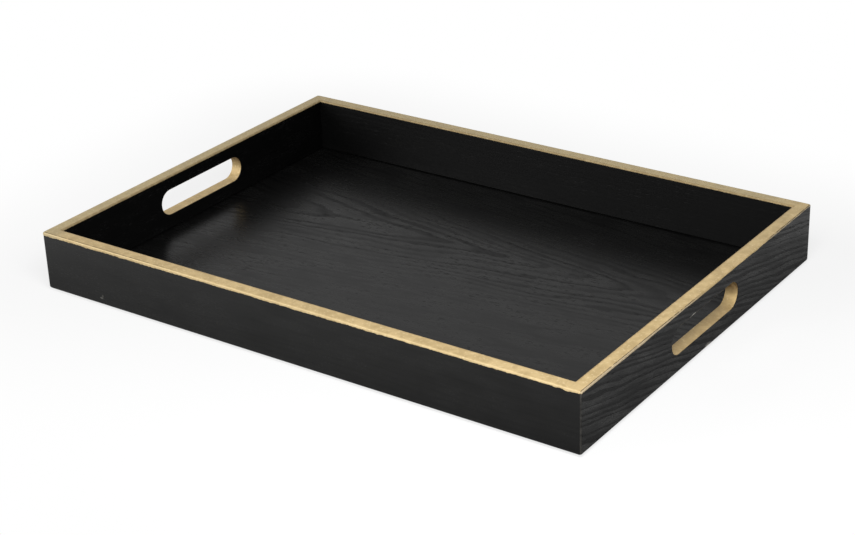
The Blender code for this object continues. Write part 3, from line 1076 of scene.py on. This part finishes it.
def gold_paint():
    """Matt pale gold paint, laid on by brush, with the veneer's edge showing as a fine seam."""
    material, tree, shader = new_material("gold_paint", Specular_IOR_Level=0.12)
    place = object_place(tree)
    clouds, specks = clouds_and_specks(tree, place, GOLD_CLOUD_SIZE, GOLD_FLECK_SIZE)
    brushed = use(tree, open_pores_group, {"Vector": place, "Length": BRUSH_LENGTH, "Width": BRUSH_WIDTH,
                                           "Share": BRUSH_SHARE})
    mottle = fade(tree, clouds, *GOLD_CLOUDS)
    base = tint(tree, mottle, GOLD_DEEP, GOLD_PALE)
    flecks = times(tree, fade(tree, specks, *GOLD_FLECKS), FLECK_SHARE)
    flecked = tint(tree, flecks, base, GOLD_FLECK)
    pored = tint(tree, times(tree, brushed["Pores"], PIT_SHARE), flecked, GOLD_PIT)
    feed(tree, shader, {"Base Color": gold_marks_and_painted_light(tree, place, pored),
                        "Roughness": between(tree, mottle, *GOLD_ROUGHNESS),
                        "Metallic": between(tree, mottle, *GOLD_METALLIC)})
    height = calc(tree, "MULTIPLY_ADD", brushed["Pores"], BRUSH_DEPTH, specks)
    shader_bump(tree, shader, height, *GOLD_RELIEF)
    return material


def gold_marks_and_painted_light(tree, place, colour):
    """The gold with its thin places on the inner arris and the veneer's seam, painted shade on the far
    rims and on the slots' roofs, the right slot's sill darker, and a painted highlight on the front
    board's outer arris.
    """
    z = split(tree, place)[2]
    on_rim = fade(tree, z, SLOT_LEVEL + SLOT_HEIGHT / 2, RIM_LEVEL - 2 * RIM_ARRIS)
    uneven = fade(tree, noise(tree, place, THIN_PATCH_SIZE, 3.0), *THIN_PATCHES, THIN_PATCH_LEAST, 1.0)
    # Painted shade on the far rims, greyer on the left board and towards the back
    rubbed = times(tree, on_rim, far_rim_painted_shade(tree, place))
    # Thin paint on the inner arris, and painted shade on the slots' roofs
    thin = times(tree, uneven, inner_arris_thin_and_slot_shade(tree, place, on_rim))
    # A painted highlight on the front board's outer arris
    thick = times(tree, times(tree, front_arris_painted_highlight(tree, place), on_rim), uneven)
    seam, edge = veneer_seam(tree, place)
    for share, tone in ((rubbed, GOLD_FAR_SHADE), (thin, GOLD_THIN_AND_SHADED), (thick, GOLD_PAINTED_HIGHLIGHT), (edge, SEAM_EDGE),
                        (seam, SEAM_TONE)):
        colour = tint(tree, share, colour, tone)
    return colour


def far_rim_painted_shade(tree, place):
    """Painted shade on the rim, the gold greyer: on the left board, and more towards the back, where less
    light falls.
    """
    x, y, _ = split(tree, place)
    at_left = fade(tree, x, -HALF_LENGTH + WALL / 4, -HALF_LENGTH + 3 * WALL, 1.0, 0.0)
    off_right = fade(tree, x, HALF_LENGTH - 3 * WALL, HALF_LENGTH - WALL / 4, 1.0, FAR_SHADE_AT_RIGHT_SHARE)
    toward_back = times(tree, fade(tree, y, 0.0, HALF_WIDTH), off_right)
    return times(tree, calc(tree, "MAXIMUM", at_left, toward_back), FAR_SHADE_SHARE)


def inner_arris_thin_and_slot_shade(tree, place, on_rim):
    """Where the paint is thin and browner on the rim's inner arris; painted shade on the slots' roofs,
    starting lower in the right slot; and the right slot's sill darker.
    """
    x, y, z = split(tree, place)
    from_end = calc(tree, "SUBTRACT", HALF_LENGTH, calc(tree, "ABSOLUTE", x))
    from_side = calc(tree, "SUBTRACT", HALF_WIDTH, calc(tree, "ABSOLUTE", y))
    inward = calc(tree, "MINIMUM", from_end, from_side)
    inner_arris = fade(tree, inward, WALL - 2 * RIM_ARRIS, WALL - RIM_ARRIS / 2, 0.0, THIN_ARRIS_SHARE)
    to_right = fade(tree, x, -WALL, WALL)
    raised = calc(tree, "MULTIPLY_ADD", to_right, RIGHT_ROOF_SHADE_DROP, z)
    # Painted shade on the slots' roofs
    roof = fade(tree, raised, SLOT_LEVEL - SLOT_HEIGHT / 8, SLOT_LEVEL + SLOT_HEIGHT / 3,
                0.0, ROOF_SHADE_SHARE)
    sill = fade(tree, z, SLOT_LEVEL - SLOT_HEIGHT / 2, SLOT_LEVEL - SLOT_HEIGHT / 3, SILL_DARKENING_SHARE, 0.0)
    in_slots = calc(tree, "MAXIMUM", roof, times(tree, to_right, sill))
    return put(tree, "Mix", {0: on_rim, 2: in_slots, 3: inner_arris}).outputs[0]


def front_arris_painted_highlight(tree, place):
    """A painted highlight, pale, along the front board's outer arris."""
    from_front = calc(tree, "ADD", split(tree, place)[1], HALF_WIDTH)
    return fade(tree, from_front, RIM_ARRIS / 4, 1.6 * RIM_ARRIS, ARRIS_HIGHLIGHT_SHARE, 0.0)


def seam_line(tree, past, run):
    """A fine line along its run, by how far past the middle of the seam a place is."""
    line = fade(tree, calc(tree, "ABSOLUTE", past), *SEAM_SIDES, 1.0, 0.0)
    return times(tree, line, run)


def seam_edge(tree, past, run):
    """The paler edge outside a seam, along its run."""
    edge = fade(tree, past, -SEAM_WIDTH, 0.0, SEAM_EDGE_SHARE, 0.0)
    return times(tree, edge, run)


def veneer_seam(tree, place):
    """A fine line inside the outer arris of the right and the front board, and the right one's edge."""
    x, y, z = split(tree, place)
    nearing = fade(tree, y, -HALF_WIDTH, 0.0, SEAM_DEPTH, SEAM_DEPTH / 2)
    right_run = calc(tree, "MAXIMUM", fade(tree, y, *RIGHT_SEAM_NEAR, 1.0, 0.0),
                     fade(tree, y, *RIGHT_SEAM_FAR))
    from_right = calc(tree, "ABSOLUTE", calc(tree, "SUBTRACT", x, HALF_LENGTH))
    past_right = calc(tree, "SUBTRACT", from_right, nearing)
    front_run = fade(tree, x, *FRONT_SEAM, 1.0, 0.0)
    from_front = calc(tree, "ABSOLUTE", calc(tree, "SUBTRACT", y, -HALF_WIDTH))
    past_front = calc(tree, "SUBTRACT", from_front, SEAM_DEPTH)
    on_rim = fade(tree, z, RIM_LEVEL - 3 * RIM_ARRIS, RIM_LEVEL - 2 * RIM_ARRIS)
    broken = fade(tree, noise(tree, place, THIN_PATCH_SIZE, 4.0, 0.6), *SEAM_BREAKS)
    lines = calc(tree, "MAXIMUM", seam_line(tree, past_right, right_run),
                 seam_line(tree, past_front, front_run))
    seam = times(tree, lines, times(tree, on_rim, broken))
    return seam, times(tree, seam_edge(tree, past_right, right_run), on_rim)


# Felt, ply and steel

def pressed_felt():
    """Black pressed felt."""
    material, tree, shader = new_material("pressed_felt", Specular_IOR_Level=0.2, Sheen_Weight=0.3)
    clouds, fibres = clouds_and_specks(tree, object_place(tree), FELT_CLOUD_SIZE, FELT_FIBRE_SIZE)
    feed(tree, shader, {"Base Color": tint(tree, fibres, FELT_DARK, FELT_LIGHT),
                        "Roughness": between(tree, clouds, *FELT_ROUGHNESS)})
    shader_bump(tree, shader, fibres, *FELT_RELIEF)
    return material


def bare_ply(corner):
    """Bare ply with its grain along a corner's tongue."""
    material, tree, shader = new_material(f"ply_{corner}", Specular_IOR_Level=0.3)
    grain = grain_vector(tree, object_place(tree), LYING_FLAT, PLY_TURNS[corner], ORIGIN)
    pores = use(tree, open_pores_group, {"Vector": grain, "Length": PLY_PORE_LENGTH,
                                         "Width": PLY_PORE_WIDTH})
    colour = tint(tree, pores["Fibres"], PLY_DARK, PLY_LIGHT)
    pored = tint(tree, times(tree, pores["Pores"], PLY_PORE_SHARE), colour, PLY_PORE)
    feed(tree, shader, {"Base Color": pored, "Roughness": between(tree, pores["Fibres"], *PLY_ROUGHNESS)})
    shader_bump(tree, shader, pores["Fibres"], *PLY_RELIEF)
    return material


def drawn_steel():
    """Bright drawn steel with die marks along it, black with stain in the gap over the floor."""
    material, tree, shader = new_material("drawn_steel", Metallic=1.0)
    place = object_place(tree)
    along = vector_calc(tree, "MULTIPLY", place, STEEL_DRAW)
    clouds, marks = clouds_and_specks(tree, along, STEEL_CLOUD_SIZE, STEEL_MARK_SIZE)
    bright = tint(tree, clouds, STEEL_DARK, STEEL_LIGHT)
    stained = fade(tree, split(tree, place)[2], *STEEL_STAIN_LEVELS)
    feed(tree, shader, {"Base Color": tint(tree, stained, bright, STEEL_STAIN),
                        "Roughness": between(tree, marks, *STEEL_ROUGHNESS)})
    shader_bump(tree, shader, marks, *STEEL_RELIEF)
    return material


# Tray

def coat(piece, material):
    """Gives a piece, or a solid of the frame, its one material."""
    piece.data.materials.clear()
    piece.data.materials.append(material)


def finish_piece(piece, material, slot, *nodes):
    """Gives a piece its material, attaches it to the tray, and hides the frame's nodes that it stands for.
    The slot is not used.
    """
    coat(piece, material)
    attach(piece, "root")
    if nodes:
        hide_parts(*nodes)


def make_walls(gold):
    """The four boards, each cut from the ring, and the paint on their rim and in their slots."""
    ring = make_ring()
    paint = make_rim_paint(ring)
    shade(paint)
    finish_piece(paint, gold, "gold_paint")
    for side, node in BOARD_NODES.items():
        board = make_board(ring, side)
        if side in ("left", "right"):
            lining = cut_slot(board, side)
            thicken_film(lining)
            shade(lining)
            finish_piece(lining, gold, "gold_paint")
        cut_joinery(board, side)
        shade(board)
        finish_piece(board, stained_veneer(side), "black_veneer", node)
    bpy.data.objects.remove(ring, do_unlink=True)


def make_tray():
    """All the pieces of the tray, each with its finish."""
    make_walls(gold_paint())
    felt = pressed_felt()
    for node, pad in make_felts().items():
        finish_piece(pad, felt, "pad_felt", node)
    steel = drawn_steel()
    for node in nodes_named("brad_"):
        coat(frame["nodes"][node], steel)
    coat(frame["nodes"]["base_panel"], stained_veneer("floor"))
    for corner in PLY_TURNS:
        coat(frame["nodes"][f"tongue_{corner}"], bare_ply(corner))


# Studio

def outside_tray(tree, place):
    """How far a place on the ground lies outside the tray's outline."""
    mirrored = vector_calc(tree, "ABSOLUTE", place)
    beyond = vector_calc(tree, "SUBTRACT", mirrored, (HALF_LENGTH, HALF_WIDTH, 0))
    return length_of(tree, vector_calc(tree, "MAXIMUM", beyond, (0, 0, 0)))


def ground_white(tree):
    """The ground's own white, with a painted shadow on it near the tray in reflections, and how much of it
    shows.
    """
    distance = outside_tray(tree, object_place(tree))
    path = put(tree, "LightPath").outputs
    reflected = calc(tree, "MAXIMUM", path["Is Glossy Ray"], path["Is Transmission Ray"])
    # Painted shadow: the ground seen in reflections is darker near the tray
    painted_shadow = times(tree, reflected, fade(tree, distance, *REFLECTED_SHADOW_REACH, REFLECTED_PAINTED_SHADOW, 0.0))
    white = put(tree, "Emission", {"Color": WHITE, "Strength": calc(tree, "SUBTRACT", 1.0, painted_shadow)})
    to_camera = times(tree, path["Is Camera Ray"],
                      fade(tree, distance, *SHADOW_REACH, SHADOW_WHITE_SHARE, 1.0))
    share = calc(tree, "MAXIMUM", to_camera, times(tree, reflected, REFLECTION_WHITE_SHARE))
    return white.outputs[0], share


def ground_material():
    """A pale surface that fades to white further out and in reflections, and is clear from below."""
    material, tree, shader = new_material("ground", Base_Color=GROUND_TONE, Roughness=0.9,
                                          Specular_IOR_Level=0.0)
    white, share = ground_white(tree)
    mixed = put(tree, "MixShader", {0: share, 1: shader.outputs[0], 2: white})
    from_below = put(tree, "NewGeometry").outputs["Backfacing"]
    clear = put(tree, "BsdfTransparent")
    surface = put(tree, "MixShader", {0: from_below, 1: mixed.outputs[0], 2: clear.outputs[0]})
    feed(tree, tree.nodes["Material Output"], {"Surface": surface.outputs[0]})
    return material


def make_ground():
    """The ground, which keeps the tray's shadow."""
    bpy.ops.object.select_all(action="DESELECT")
    bpy.ops.mesh.primitive_circle_add(vertices=GROUND_STEPS, radius=GROUND_RADIUS, fill_type="NGON")
    ground = bpy.context.object
    ground.name = "ground"
    coat(ground, ground_material())


def area_light(name, place, target, size, power):
    """A rectangular light, pointed at a target."""
    light = bpy.data.lights.new(name, "AREA")
    light.shape = "RECTANGLE"
    light.size, light.size_y = size
    light.energy = power
    lamp = bpy.data.objects.new(name, light)
    bpy.context.scene.collection.objects.link(lamp)
    lamp.location = place
    lamp.rotation_euler = (Vector(target) - Vector(place)).to_track_quat("-Z", "Y").to_euler()


def make_world():
    """White to the camera and in reflections, dimmer as a light."""
    world = bpy.data.worlds.new("studio")
    bpy.context.scene.world = world
    world.use_nodes = True
    tree = world.node_tree
    path = put(tree, "LightPath").outputs
    seen = calc(tree, "MAXIMUM", path["Is Camera Ray"],
                calc(tree, "MAXIMUM", path["Is Glossy Ray"], path["Is Transmission Ray"]))
    strength = calc(tree, "MULTIPLY_ADD", seen, 1 - WORLD_LIGHT, WORLD_LIGHT)
    feed(tree, tree.nodes["Background"], {"Color": WHITE, "Strength": strength})


def make_camera():
    """The photograph's view of the tray."""
    data = bpy.data.cameras.new("camera")
    data.lens = CAMERA_LENS_MM
    data.sensor_width = SENSOR_MM
    camera = bpy.data.objects.new("camera", data)
    bpy.context.scene.collection.objects.link(camera)
    turn = (Matrix.Rotation(CAMERA_AZIMUTH, 4, "Z")
            @ Matrix.Rotation(math.radians(90) - CAMERA_ELEVATION, 4, "X")
            @ Matrix.Rotation(CAMERA_ROLL, 4, "Z"))
    camera.matrix_world = Matrix.Translation(CAMERA_PLACE) @ turn
    bpy.context.scene.camera = camera


def make_studio():
    """The camera, the world, the ground and the lights."""
    make_camera()
    make_world()
    make_ground()
    area_light("window", *WINDOW_LIGHT)
    area_light("overhead", *OVERHEAD_LIGHT)
    bpy.context.scene.view_settings.view_transform = "Standard"


make_tray()
make_studio()
